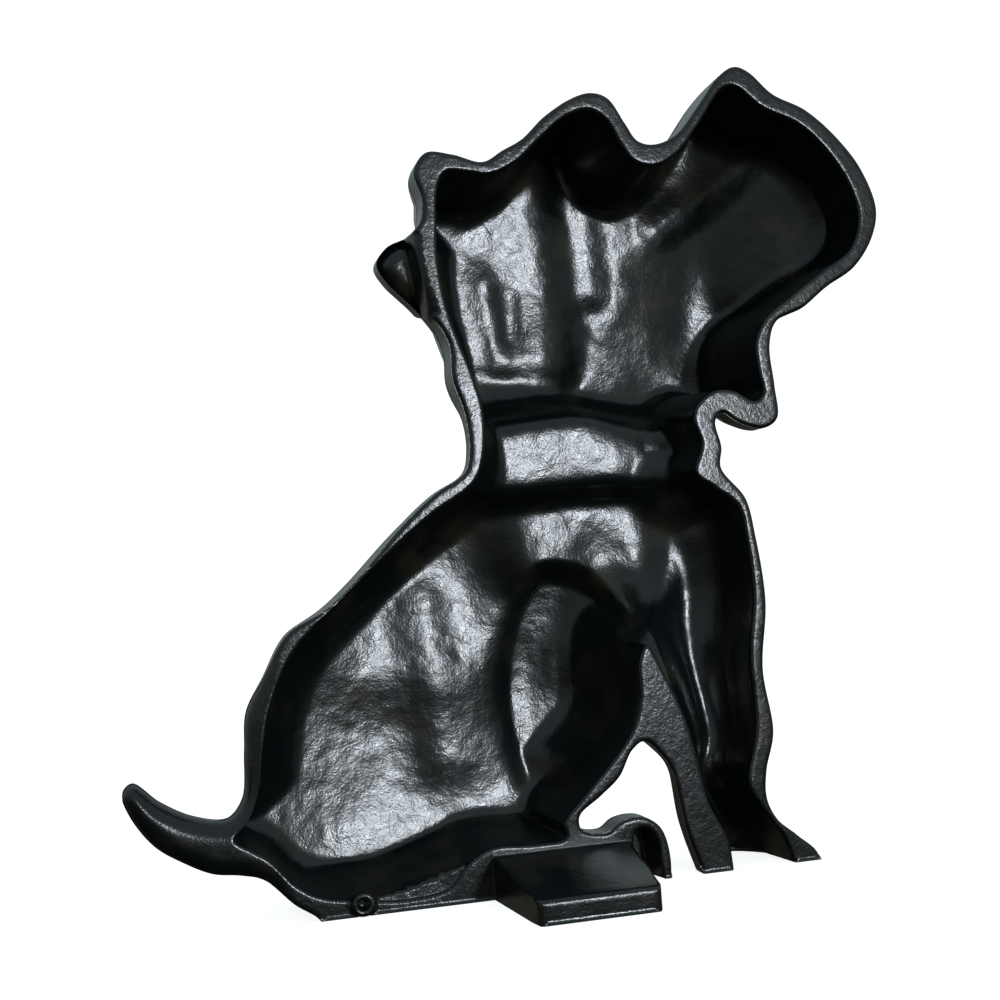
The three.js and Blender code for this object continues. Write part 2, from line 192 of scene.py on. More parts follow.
# %% Bowls shared by the face and the hollow
# Each is a stretch of floor: middle, half-lengths, depth at the middle, tilt (depth gained towards +X and +Z), and
# how fast it gets shallower away from the middle.
FLOORS = {
    "skull": ((-2, 158), (34, 31), 38, (-0.02, -0.02), 0.002),
    "temple": ((-46, 158), (26, 38), 40.5, (0.2, -0.02), 0.002),
    "left ear": ((-84, 174), (24, 28), 26, (0.5, -0.1), 0),
    "muzzle": ((-68, 138), (20, 20), 37, (0.2, 0), 0),
    "neck": ((-18, 115), (42, 12), 20, (0, 0), 0),
    "throat": ((-56, 110), (14, 13), 25, (0.12, 0), 0),
    "shoulder": ((-22, 86), (26, 17), 27, (0.03, 0.04), 0.001),
    "back": ((22, 70), (36, 28), 32.5, (-0.03, 0.05), 0.0021),
    "rump": ((34, 30), (40, 36), 31, (-0.06, 0.08), 0.002),
    "foreleg": ((-52, 48), (15, 52), 24, (-0.28, 0), 0),
}
SHARPNESS = 3.2  # how abruptly one stretch of floor gives way to the next
FARTHEST = 80  # squared radius past which a stretch's share no longer shrinks
LEAST_SHARE = 1e-30  # keeps the floor defined far from every stretch
# The haunch's slope is steep towards the front leg and gentle towards the rump: two widths, and the x between them.
HAUNCH = {"middle": (-10, 47.5), "half": (26, 38), "turn": 7.4, "widths": (5, 34), "across": (-12, 16)}
HAUNCH_BOWL = {"middle": (-16, 54), "depth": 35, "curve": 0.0016}
WALL = 4.6  # thickness of the iron


def ease(low, high, value):
    """Goes from 0 at low to 1 at high along 3 t^2 - 2 t^3."""
    t = np.clip((value - low) / (high - low), 0, 1)
    return t * t * (3 - 2 * t)


def ellipse_radius(x, z, middle, half, turn):
    """Radius in an ellipse turned by some degrees, 1 on its outline."""
    cos, sin = np.cos(np.radians(turn)), np.sin(np.radians(turn))
    u = ((x - middle[0]) * cos + (z - middle[1]) * sin) / half[0]
    v = ((z - middle[1]) * cos - (x - middle[0]) * sin) / half[1]
    return np.hypot(u, v)


def haunch_share(x, z, soften):
    """1 inside the haunch and 0 outside, eased over its slope: the distance inside is what the radius is short of 1,
    times the shorter half-length."""
    steep, gentle = HAUNCH["widths"]
    inside = (1 - ellipse_radius(x, z, HAUNCH["middle"], HAUNCH["half"], HAUNCH["turn"])) * min(HAUNCH["half"])
    width = steep + soften + (gentle - steep) * ease(*HAUNCH["across"], x)
    return ease(0, 1, (inside + soften / 2) / width)


def body(x, z, soften=0):
    """Depth of the dog's form: the mean of the floors, each weighted by e to the minus sharpness times its squared
    radius, and the haunch's own bowl set into it."""
    total = weight = 0
    for (cx, cz), (a, b), depth, (tilt_x, tilt_z), curve in FLOORS.values():
        dx, dz = x - cx, z - cz
        share = np.exp(-SHARPNESS * np.minimum(FARTHEST, (dx / a) ** 2 + (dz / b) ** 2)) + LEAST_SHARE
        weight = weight + share
        total = total + share * (depth + tilt_x * dx + tilt_z * dz - curve * (dx**2 + dz**2))
    cx, cz = HAUNCH_BOWL["middle"]
    haunch = HAUNCH_BOWL["depth"] - HAUNCH_BOWL["curve"] * ((x - cx) ** 2 + (z - cz) ** 2)
    share = haunch_share(x, z, soften)
    return total / weight * (1 - share) + haunch * share


def segment_distance(x, z, start, end):
    """Distance to the straight stretch from start to end."""
    (ax, az), (bx, bz) = start, end
    along = np.clip(((x - ax) * (bx - ax) + (z - az) * (bz - az)) / ((bx - ax) ** 2 + (bz - az) ** 2), 0, 1)
    return np.hypot(x - ax - along * (bx - ax), z - az - along * (bz - az))


def soft_line(x, z, start, end, width):
    """Bell-shaped line: e to the minus square of the distance in widths."""
    return np.exp(-((segment_distance(x, z, start, end) / width) ** 2))


def edge_share(inside, share, reach):
    """Share of the depth left at a distance inside an edge: a parabola from share at the edge to 1 at reach."""
    return share + (1 - share) * (1 - (1 - np.clip(inside / reach, 0, 1)) ** 2)


LATTICE = 64  # random numbers each way


def lumps(x, z, size, seed):
    """Smooth random heights from -1 to 1: a lattice of random numbers one size apart, eased between its points."""
    table = np.random.default_rng(seed).uniform(-1, 1, (LATTICE, LATTICE))
    u, v = x / size, z / size
    i, j = np.floor(u).astype(int), np.floor(v).astype(int)
    s, t = ease(0, 1, u - i), ease(0, 1, v - j)
    left, right, low, high = i % LATTICE, (i + 1) % LATTICE, j % LATTICE, (j + 1) % LATTICE
    below = table[left, low] * (1 - s) + table[right, low] * s
    above = table[left, high] * (1 - s) + table[right, high] * s
    return below * (1 - t) + above * t


low_lumps = lumps(*np.mgrid[0:100.0, 0:100.0], 18, 1)
print("depth of the form in the rump's middle:", round(float(body(36, 30)), 1))
print("random heights run from", round(low_lumps.min(), 2), "to", round(low_lumps.max(), 2))

# %% Floor of the hollow
# The ridge behind the front leg takes a share of the depth that grows between two heights.
DIVIDER = {"line": ((-27, 84), (-38, 34), 9), "share": (0.04, 0.94), "heights": (84, 36), "on_face": 0.35}
# The slope up to the bottom rail. The rail gets lower towards the rump, and ends at the front leg.
RAIL = {"heights": (11, 4), "across": (12, 48), "slope": 7, "least": 1.2, "blend": 3, "end": (-22, -34), "drop": 60}
# Walls of the hollow: share of the depth at the edge, and how far in the floor is at its full depth.
GENTLE_WALL = (0.5, 13)
STEEP_WALL = (0.85, 6)
# Where they turn steep: up the head, but not down the nape, and down to the rail.
STEEP = {"head": (100, 128), "nape": (-4, 8), "nape_foot": (184, 172), "bottom": (34, 22), "right_of": (-24, -16)}
SHALLOWEST = 1
DRAFT = 0.07  # how much the walls lean back, sideways for each unit of depth
LIP = 0.8  # radius of the rounded edge round the mouth
# Low folds and dents of the floor: from, to, width, and how much deeper they make it.
FOLDS = [
    ((24, 74), (20, 34), 8, -1.2),
    ((-1, 164), (-5, 142), 4, -0.5),
    ((-7.5, 161), (-8, 149), 4, 0.5),
    ((-32, 190), (-34, 163), 6, -1.6),
    ((-56, 180), (-78, 195), 6, 1.8),
    ((-64, 176), (-61, 143), 6, -0.8),
    ((4, 137), (-26, 134), 5, 1.2),
    ((-15, 60), (-8, 14), 6, -0.8),
]
UNEVEN = [(0.35, 18, 1), (0.09, 6, 3), (0.05, 2.4, 4)]  # height, size and seed of the floor's lumps


def rail_depth(x, z):
    """Depth that the slope up to the bottom rail allows, with no limit beyond the front leg."""
    high, low = RAIL["heights"]
    height = high + (low - high) * ease(*RAIL["across"], x)
    return RAIL["least"] + RAIL["slope"] * np.maximum(0, z - height) + RAIL["drop"] * ease(*RAIL["end"], x)


def wall_steepness(x, z):
    """0 where the walls of the hollow are gentle and 1 where they are steep."""
    nape = ease(*STEEP["nape"], x) * ease(*STEEP["nape_foot"], z)
    return ease(*STEEP["head"], z) * (1 - nape) + ease(*STEEP["bottom"], z) * ease(*STEEP["right_of"], x)


def floor_depth(x, z, inside):
    """Depth of the hollow's floor below the rim: the dog's form and its folds, less the ridge behind the front leg,
    softly limited by the rail, times the share that the walls leave, and the lumps."""
    least, most = DIVIDER["share"]
    ridge = soft_line(x, z, *DIVIDER["line"]) * (least + (most - least) * ease(*DIVIDER["heights"], z))
    depth = body(x, z) * (1 - ridge)
    for start, end, width, deeper in FOLDS:
        depth = depth + deeper * soft_line(x, z, start, end, width)
    rail = rail_depth(x, z)
    rail = rail - RAIL["blend"] * np.log(1 + np.exp((rail - depth) / RAIL["blend"]))
    steep = wall_steepness(x, z)
    share, reach = (gentle + (sharp - gentle) * steep for gentle, sharp in zip(GENTLE_WALL, STEEP_WALL))
    depth = np.maximum(SHALLOWEST, rail) * edge_share(inside, share, reach)
    return depth + sum(height * lumps(x, z, size, seed) for height, size, seed in UNEVEN)


def lip_drop(inside, radius):
    """How far a rounded edge has dropped: a quarter circle of this radius that ends upright at the edge."""
    t = np.clip(inside, 0, radius)
    return radius - np.sqrt(np.maximum(0, radius**2 - (radius - t) ** 2))


def well(inside, depth):
    """Depth below the rim of a hollow with leaning walls and a rounded lip, positive inside its edge."""
    wall = LIP + np.maximum(inside, 0) / DRAFT
    lip = LIP - np.sqrt(np.maximum(0, LIP**2 - np.clip(inside + LIP, 0, LIP) ** 2))
    return np.where(inside > 0, np.minimum(wall, np.maximum(depth, LIP)), lip)


print("depth of the floor behind skull, neck and rump:",
      [round(float(floor_depth(x, z, 30)), 1) for x, z in ((-2, 158), (-18, 115), (36, 40))])

# %% [markdown]
# ## What stands out behind
#
# The wedge foot, the small drilled boss, the ear tip whose back lies below the rim, and the rounded tail belong to
# the same pour. Separate solids joined by booleans would leave seams. They are heights over the rim plane instead,
# so the one skin runs over all of them.

# %% Wedge foot, boss and ear tip
FOOT = {"left": -20.5, "right": 16, "height": 11, "tip_height": 6.2, "length": 33, "shrink": 0.16, "round": 1.4}
BOSS = {"x": 49.5, "z": 3.1, "radius": 3.1, "reach": 0.45}
# The boss from its middle outwards, as distance and height: the bore, its worn edge, the flat top and the side.
BOSS_PROFILE = [(0, -1.9), (1.15, -1.9), (1.4, 1.25), (1.65, 1.6), (2.6, 1.6), (2.98, 1.25), (3.1, 0.3), (3.6, -1)]
EAR_TIP = {"x": 24.5, "z": 164, "turn": 9, "drop": 9, "half_height": 17, "from": -1, "step": (-0.6, 1.2),
           "round": 5}
TAIL = {"across": (66, 76), "round": 5}
OUTER_LIP = 0.9  # radius of the rim's outer edge
LIP_FROM = 1  # height over the ground from which that edge is rounded
foot_middle = (FOOT["left"] + FOOT["right"]) / 2
foot_half = (FOOT["right"] - FOOT["left"]) / 2


def foot_height(x, z):
    """How far the wedge foot stands behind the rim: rising inwards from its root outline to its end face."""
    aside = foot_half - np.abs(x - foot_middle)
    climb = (FOOT["height"] - z) / (FOOT["height"] - FOOT["tip_height"])
    rise = np.minimum(climb, aside / (foot_half * FOOT["shrink"]))
    past = np.minimum(FOOT["tip_height"] - z, aside - foot_half * FOOT["shrink"])
    side = (FOOT["length"] - FOOT["round"]) * np.clip(rise, 0, 1)
    end = FOOT["length"] - lip_drop(past, FOOT["round"])
    return np.where(rise <= 0, -1, np.where(past <= 0, side, end))


def boss_height(x, z):
    """Height of the small drilled boss over the rim, by the distance from its middle."""
    return np.interp(np.hypot(x - BOSS["x"], z - BOSS["z"]), *zip(*BOSS_PROFILE))


def ear_tip_line(x, z):
    """Distance past the line beyond which the ear's tip lies deeper than the rim."""
    turn = np.radians(EAR_TIP["turn"])
    return (x - EAR_TIP["x"]) * np.cos(turn) - (z - EAR_TIP["z"]) * np.sin(turn)


def in_ear_tip(z):
    """Whether a height is level with the ear's tip."""
    return np.abs(z - EAR_TIP["z"]) < EAR_TIP["half_height"]


def back_height(x, z):
    """Height over the rim plane of everything that shows from behind."""
    inside = inside_distance(x, z, mouth_loop)
    edge = inside_distance(x, z, rim_loop)
    pocket = inside_distance(x, z, pocket_loop)
    depth = np.maximum(well(inside, floor_depth(x, z, inside)), well(pocket, PAW_POCKET_DEPTH))
    tip = ear_tip_line(x, z)
    lobe = EAR_TIP["drop"] * ease(*EAR_TIP["step"], tip) + lip_drop(edge, EAR_TIP["round"])
    lobe = np.where(in_ear_tip(z) & (tip > EAR_TIP["from"]), lobe, 0)
    tail = lip_drop(edge, TAIL["round"]) * ease(*TAIL["across"], x)
    height = -np.maximum(depth, lobe + tail) - lip_drop(edge, OUTER_LIP) * (z > LIP_FROM)
    near_boss = np.hypot(x - BOSS["x"], z - BOSS["z"]) < BOSS["radius"] + BOSS["reach"]
    height = np.where(near_boss, boss_height(x, z), height)
    foot = foot_height(x, z)
    return np.where(foot > 0, np.maximum(height, foot), height)


print("heights behind the rim: foot", foot_height(foot_middle, 1.0), "boss", boss_height(BOSS["x"] + 2, BOSS["z"]))

# %% [markdown]
# ## The face
#
# The side that the dog turns to the room is plainer than a fine carving: brows, snout, nose, eyes, toes and the folds
# of the ears. They could be separate lumps. They are laid on the same depth instead, so they grow out of the head.

# %% Face of the relief
# Middle, half-lengths, turn in degrees, how far it stands out, and the radius at which its slope starts.
FEATURES = {
    "snout": ((-58.5, 142), (21, 18), -16, 9, 0.2),
    "nose": ((-57, 152), (9.5, 7.5), -16, 5, 0.35),
    "left brow": ((-65, 178), (13, 8), 10, 3.5, 0),
    "right brow": ((-34, 173), (14, 8), -34, 3.5, 0),
    "right ear flap": ((7, 176), (38, 22), -24, 8, 0.55),
    "left ear hem": ((-90, 172), (18, 30), 14, 5, 0.1),
    "chest": ((-44, 94), (24, 20), -20, 5, 0.1),
    "front toes": ((-66, 3), (16, 14), 0, 6, 0.4),
    "hind toes": ((-26, 3), (12, 16), 0, 5, 0.4),
}
EYES = [(-64, 168), (-38, 161)]
EYE = {"radius": 4.2, "rise": 4, "socket_radius": 8.5, "socket_depth": 4}
# From, to, width and how deep it is pressed: the mouth, the toes and the lower edge of the right ear.
CREASES = [
    ((-59, 146), (-61, 138), 2.2, 3),
    ((-61, 138), (-74, 140), 2.4, 3.5),
    ((-61, 138), (-45, 132), 2.4, 3.5),
    ((-66.5, -2), (-66, 10), 2, 3),
    ((-60.5, -2), (-60, 10), 2, 3),
    ((-26, -2), (-26, 12), 2, 3),
    ((-18, 160), (12, 151), 4, 3),
]
FACE_DEPTH = 55  # the foremost point of the face, at the nose
FACE_SOFTER = 8  # how much wider the haunch's slope is on the face
FACE_EDGE = (0.3, 20)  # share of the depth at the outline, and how far in it is whole
FEATURE_EDGE = (0, 9)
COVER = 1.2 * WALL  # how far outside the mouth the hollow's floor still thickens the face
LEAST_WALL = 0.8 * WALL
LEAST_DEPTH = 4  # of the face, at the outline
FACE_LIP = {"radius": 2, "drop": 1.2}


def face_depth(x, z):
    """Depth of the face in front of the rim plane: the bowls a wall further out, eased at the outline, with the
    features laid on top and the creases pressed in, and never thinner than the least wall over the hollow."""
    edge = inside_distance(x, z, rim_loop)
    groove = DIVIDER["on_face"] * soft_line(x, z, *DIVIDER["line"])
    depth = (body(x, z, FACE_SOFTER) + WALL) * (1 - groove) * edge_share(edge, *FACE_EDGE)
    for middle, half, turn, rise, level in FEATURES.values():
        laid_on = 1 - ease(level, 1, ellipse_radius(x, z, middle, half, turn))
        depth = depth + rise * laid_on * edge_share(edge, *FEATURE_EDGE)
    for ex, ez in EYES:
        r = np.hypot(x - ex, z - ez)
        depth = depth + EYE["rise"] * np.exp(-((r / EYE["radius"]) ** 4))
        depth = depth - EYE["socket_depth"] * np.exp(-((r / EYE["socket_radius"]) ** 2))
    for start, end, width, pressed in CREASES:
        depth = depth - pressed * soft_line(x, z, start, end, width)
    inside = inside_distance(x, z, mouth_loop)
    inner = floor_depth(x, z, inside) * ease(-COVER, 0, inside)
    depth = np.clip(np.maximum(depth, inner + LEAST_WALL), LEAST_DEPTH, FACE_DEPTH)
    return depth - FACE_LIP["drop"] * lip_drop(edge, FACE_LIP["radius"])


print("eyes stand in front of the rim by", face_depth(*np.array(EYES, float).T).round(1))

# %% [markdown]
# ## From heights to one closed skin
#
# A regular grid would cut steps into every edge. Here rows of points run along each edge, a regular grid fills the
# rest, and a constrained Delaunay triangulation joins them, so the rim's lines stay as clean as the pattern's.

# %% Trim a loop to the ground
CLOSEST = 0.15  # nearer points of the border are dropped


def trimmed(line):
    """The loop with its runs under the ground replaced by the straight ground line between their ends."""
    x, z = line.T
    points = []
    for k in range(len(line)):
        n = (k + 1) % len(line)
        if z[k] >= 0:
            points.append((x[k], z[k]))
        if (z[k] < 0) != (z[n] < 0):
            share = z[k] / (z[k] - z[n])
            points.append((x[k] + share * (x[n] - x[k]), 0.0))
    filled = []
    for k, p in enumerate(points):
        q = points[(k + 1) % len(points)]
        filled.append(p)
        if p[1] == 0 and q[1] == 0:
            steps = max(1, round(abs(q[0] - p[0]) / EDGE_STEP))
            filled += [(p[0] + (q[0] - p[0]) * s / steps, 0.0) for s in range(1, steps)]
    line = np.array(filled)
    gap = np.linalg.norm(np.roll(line, -1, axis=0) - line, axis=1)
    return line[gap > CLOSEST]


border = trimmed(rim_loop)
print("points round the trimmed border:", len(border))

# %% Rows of points beside an edge
ROW_ERROR = (0.04, 0.02)  # how far off a row's points may be: fixed, and for each mm between row and edge
JOINED = 2.5 * EDGE_STEP  # neighbours further apart than this aren't joined by a line
MERGED = 1e-5  # points closer than this become one


def row_beside(line, offset):
    """The line moved along its own normals, kept where it really is that far from the line."""
    ahead, behind = np.roll(line, -1, axis=0), np.roll(line, 1, axis=0)
    along = ahead - behind
    normal = np.column_stack([-along[:, 1], along[:, 0]]) / np.linalg.norm(along, axis=1)[:, None]
    moved = line + normal * offset
    true = inside_distance(*moved.T, line)
    return moved, np.abs(true - offset) < ROW_ERROR[0] + ROW_ERROR[1] * abs(offset)


class Points:
    """Collects the points of a sheet and the lines that its triangles may not cross."""

    def __init__(self, border):
        self.border = border
        self.points = [border]
        self.lines = [np.column_stack([np.arange(len(border)), np.roll(np.arange(len(border)), -1)])]
        self.count = len(border)

    def add_row(self, points, keep, closed=True):
        """Adds the kept points of a line, with the stretches between neighbours as lines."""
        index = np.cumsum(keep) - 1 + self.count
        pairs = np.column_stack([index, np.roll(index, -1)])
        near = np.linalg.norm(np.roll(points, -1, axis=0) - points, axis=1) < JOINED
        joined = keep & np.roll(keep, -1) & near
        if not closed:
            joined[-1] = False
        self.points.append(points[keep])
        self.lines.append(pairs[joined])
        self.count += int(keep.sum())

    def add_grid(self, step, keep):
        """Adds a grid whose every other row is moved by half a step."""
        low, high = self.border.min(axis=0), self.border.max(axis=0)
        xs = np.arange(low[0] + step / 2, high[0], step)
        zs = np.arange(low[1] + step / 2, high[1], step)
        grid = np.array([(x + (0.5 * step if j % 2 else 0), z) for j, z in enumerate(zs) for x in xs])
        grid = grid[keep(grid)]
        self.points.append(grid)
        self.count += len(grid)

    def triangles(self):
        """Points and triangles, less the triangles whose middle lies outside the border."""
        points = [Vector(p) for p in np.vstack(self.points)]
        edges = [tuple(map(int, e)) for e in np.vstack(self.lines)]
        vertices, _, faces, *_ = delaunay_2d_cdt(points, edges, [], 0, MERGED, False)
        vertices, faces = np.array([(v.x, v.y) for v in vertices]), np.array(faces)
        return vertices, faces[inside_distance(*vertices[faces].mean(axis=1).T, self.border) > 0]


# %% Back sheet
BACK_ROWS = (0.18, 0.5, 0.95)
MOUTH_ROWS = (-0.95, -0.5, -0.22, -0.06, 0.06, 0.3, 0.7, 1.2, 1.8, 2.5, 3.3)
EAR_ROWS = (-0.6, -0.2, 0.2, 0.6, 1.2)
EAR_ROW_HALF = 16  # half-length of those rows
FOOT_LEVELS = 17  # up the wedge foot's slope
FOOT_END_ROWS = (0.12, 0.4, 0.8, 1.4)  # inwards from the edge of its end face
FOOT_MARGIN = 0.2  # of the line round the foot's root
BOSS_RINGS = (0.6, *(r for r, _ in BOSS_PROFILE[1:]))
RING_POINTS = 28
BACK_GRID = 0.9
# How far the rows keep from the lines of other parts, and then how far the grid does: closer points leave slivers.
ROW_GAP = {"ground": 0.35, "mouth": 1.1, "outline": 0.25, "ring": 0.2, "foot": 0.4, "foot_side": 0.5, "boss": 0.8}
GRID_GAP = {"ground": 0.5, "last_row": 0.3, "edge": 1.3, "foot_end": 1.8, "ear_step": 1.6}


def back_sheet():
    """The side that shows from behind: rows along the rim, the mouth and the paw pocket, level lines up the wedge
    foot, rings round the boss, rows along the ear tip's step, and a grid over the rest."""
    sheet = Points(border)
    above = lambda p: p[:, 1] > ROW_GAP["ground"]
    for offset in BACK_ROWS:
        row, keep = row_beside(rim_loop, offset)
        sheet.add_row(row, keep & above(row) & (inside_distance(*row.T, mouth_loop) < -ROW_GAP["mouth"]))
    outline_gap = BACK_ROWS[-1] + GRID_GAP["last_row"]
    in_foot = lambda p: (foot_height(*p.T) > -ROW_GAP["foot_side"]) & (p[:, 1] < FOOT["height"] + ROW_GAP["foot"])
    in_boss = lambda p: np.hypot(p[:, 0] - BOSS["x"], p[:, 1] - BOSS["z"]) < BOSS["radius"] + ROW_GAP["boss"]
    for line in (mouth_loop, pocket_loop):
        for offset in MOUTH_ROWS:
            row, keep = row_beside(line, offset)
            keep &= above(row) & (inside_distance(*row.T, rim_loop) > ROW_GAP["outline"])
            sheet.add_row(row, keep & ~in_foot(row) & ~in_boss(row))
    # the ear tip's step
    turn = np.radians(EAR_TIP["turn"])
    for offset in EAR_ROWS:
        along = np.arange(-EAR_ROW_HALF, EAR_ROW_HALF, EDGE_STEP)
        row = np.column_stack([EAR_TIP["x"] + offset * np.cos(turn) + along * np.sin(turn),
                               EAR_TIP["z"] - offset * np.sin(turn) + along * np.cos(turn)])
        sheet.add_row(row, inside_distance(*row.T, rim_loop) > outline_gap, closed=False)
    # level lines up the wedge foot, and the rounded edge of its end face
    shrink = foot_half * FOOT["shrink"]
    levels = [(FOOT["height"] - t * (FOOT["height"] - FOOT["tip_height"]), foot_half - t * shrink)
              for t in np.linspace(0, 1, FOOT_LEVELS)]
    levels += [(FOOT["tip_height"] - e, foot_half - shrink - e) for e in FOOT_END_ROWS]
    levels.insert(0, (FOOT["height"] + FOOT_MARGIN, foot_half + FOOT_MARGIN))
    for top, half in levels:
        up = np.arange(ROW_GAP["foot"], top, EDGE_STEP)
        across = np.linspace(-half, half, round(2 * half / EDGE_STEP))
        row = np.vstack([np.column_stack([np.full(len(up), -half), up]),
                         np.column_stack([across, np.full(len(across), top)]),
                         np.column_stack([np.full(len(up), half), up[::-1]])])
        row[:, 0] += foot_middle
        sheet.add_row(row, np.ones(len(row), bool), closed=False)
    # rings of the boss
    around = np.linspace(0, 2 * np.pi, RING_POINTS, endpoint=False)
    for r in BOSS_RINGS:
        row = np.column_stack([BOSS["x"] + r * np.cos(around), BOSS["z"] + r * np.sin(around)])
        sheet.add_row(row, (inside_distance(*row.T, rim_loop) > ROW_GAP["ring"]) & above(row))
    end_top = FOOT["tip_height"] - GRID_GAP["foot_end"]
    end_half = foot_half * (1 - FOOT["shrink"]) - GRID_GAP["foot_end"]
    last_row = MOUTH_ROWS[-1] + GRID_GAP["last_row"]

    def free(p):
        """Whether the grid may have a point here."""
        mouth = inside_distance(*p.T, mouth_loop)
        keep = (inside_distance(*p.T, rim_loop) > outline_gap) & (p[:, 1] > GRID_GAP["ground"])
        keep &= (mouth > last_row) | (mouth < -GRID_GAP["edge"])
        keep &= (np.abs(inside_distance(*p.T, pocket_loop)) > GRID_GAP["edge"]) & ~in_boss(p)
        in_end = (p[:, 1] < end_top) & (np.abs(p[:, 0] - foot_middle) < end_half)
        keep &= ~in_foot(p) | in_end
        return keep & ((np.abs(ear_tip_line(*p.T)) > GRID_GAP["ear_step"]) | ~in_ear_tip(p[:, 1]))

    sheet.add_grid(BACK_GRID, free)
    return sheet.triangles()


# %% Face sheet
FACE_ROWS = (0.3, 0.8, 1.5, 2.4)
FACE_GRID = 1.25
FACE_GAP = {"row_ground": 0.4, "grid_ground": 0.6, "last_row": 0.5}


def face_sheet():
    """The side that faces the room: rows along the outline and a coarser grid."""
    sheet = Points(border)
    for offset in FACE_ROWS:
        row, keep = row_beside(rim_loop, offset)
        sheet.add_row(row, keep & (row[:, 1] > FACE_GAP["row_ground"]))
    outline_gap = FACE_ROWS[-1] + FACE_GAP["last_row"]
    above = lambda p: p[:, 1] > FACE_GAP["grid_ground"]
    sheet.add_grid(FACE_GRID, lambda p: (inside_distance(*p.T, rim_loop) > outline_gap) & above(p))
    return sheet.triangles()


# %% Join the two sheets by the side band
BAND_ROWS = 10


def casting_mesh():
    """Points and triangles of the closed skin: the back, the face, and rows of points between their borders."""
    back, back_faces = back_sheet()
    face, face_faces = face_sheet()
    back_y = back_height(*back.T)
    face_y = -face_depth(*face.T)
    # the triangulation keeps the border's points first and in order
    n = len(border)
    assert np.allclose(back[:n], border, atol=1e-4) and np.allclose(face[:n], border, atol=1e-4)
    inner = np.arange(1, BAND_ROWS) / BAND_ROWS
    band_y = back_y[None, :n] + (face_y[:n] - back_y[:n])[None] * inner[:, None]
    band = np.stack([np.broadcast_to(border[:, 0], band_y.shape), band_y,
                     np.broadcast_to(border[:, 1], band_y.shape)], axis=-1).reshape(-1, 3)
    points = np.vstack([np.column_stack([back[:, 0], back_y, back[:, 1]]),
                        np.column_stack([face[:, 0], face_y, face[:, 1]]), band])
    first_face, first_band = len(back), len(back) + len(face)
    rows = [np.arange(n)] + [first_band + k * n + np.arange(n) for k in range(BAND_ROWS - 1)]
    rows += [first_face + np.arange(n)]
    quads = []
    for upper, lower in zip(rows, rows[1:]):
        u, l = np.roll(upper, -1), np.roll(lower, -1)
        quads += [np.column_stack([upper, lower, l]), np.column_stack([upper, l, u])]
    faces = np.vstack([back_faces[:, ::-1], face_faces + first_face, *quads])
    return points, faces


points, faces = casting_mesh()
print("casting: points", len(points), "triangles", len(faces))

# %% Into the row's frame
rim_plane = cad_box[1].y / MM - FOOT["length"]
middle = (rim_loop[:, 0].min() + rim_loop[:, 0].max()) / 2
side = (cad_box[0].x + cad_box[1].x) / 2 / MM - middle
points = (points + (side, rim_plane, 0)) * MM
INSET = 2e-5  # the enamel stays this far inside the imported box
points = np.clip(points, np.array(cad_box[0]) + INSET, np.array(cad_box[1]) - INSET)


def mesh_piece(name, points, faces):
    """A smooth shaded object from arrays of points and triangles."""
    mesh = bpy.data.meshes.new(name)
    mesh.vertices.add(len(points))
    mesh.vertices.foreach_set("co", points.astype(np.float32).ravel())
    mesh.loops.add(len(faces) * 3)
    mesh.loops.foreach_set("vertex_index", faces.astype(np.int32).ravel())
    mesh.polygons.add(len(faces))
    mesh.polygons.foreach_set("loop_start", np.arange(0, len(faces) * 3, 3, dtype=np.int32))
    mesh.polygons.foreach_set("use_smooth", np.ones(len(faces), bool))
    mesh.update(calc_edges=True)
    mesh.validate()
    piece = bpy.data.objects.new(name, mesh)
    bpy.context.scene.collection.objects.link(piece)
    return piece


dog = mesh_piece("pup_casting", points, faces)
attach(dog, "root")
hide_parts("dog_casting")
print(dog.name, "size in mm:", [round(v / MM, 1) for v in dog.dimensions])

# %% [markdown]
# ## Gloss black enamel over rough iron
#
# The casting was dipped or brushed with black enamel that follows the sand's grain, so a highlight breaks up into
# sparks. A flat black shader would look like plastic, and a painted texture would need an unwrapped mesh. A bump
# worked out from the place on the object is chosen, at three scales: cast lumps, sand grain and fine orange peel.

# %% Shader sums as Python expressions


class Socket:
    """An output socket that can be used in sums: every operator adds a Math node."""

    def __init__(self, nodes, socket):
        self.nodes, self.socket = nodes, socket

    def maths(self, operation, other):
        return self.nodes.add("ShaderNodeMath", {"operation": operation}, {0: self, 1: other})

    def __add__(self, other):
        return self.maths("ADD", other)

    def __mul__(self, other):
        return self.maths("MULTIPLY", other)

    __radd__, __rmul__ = __add__, __mul__

    def between(self, low, high):
        """0 below low, 1 above high, eased in between."""
        return self.nodes.add("ShaderNodeMapRange", {"interpolation_type": "SMOOTHSTEP"},
                              {"Value": self, "From Min": low, "From Max": high})


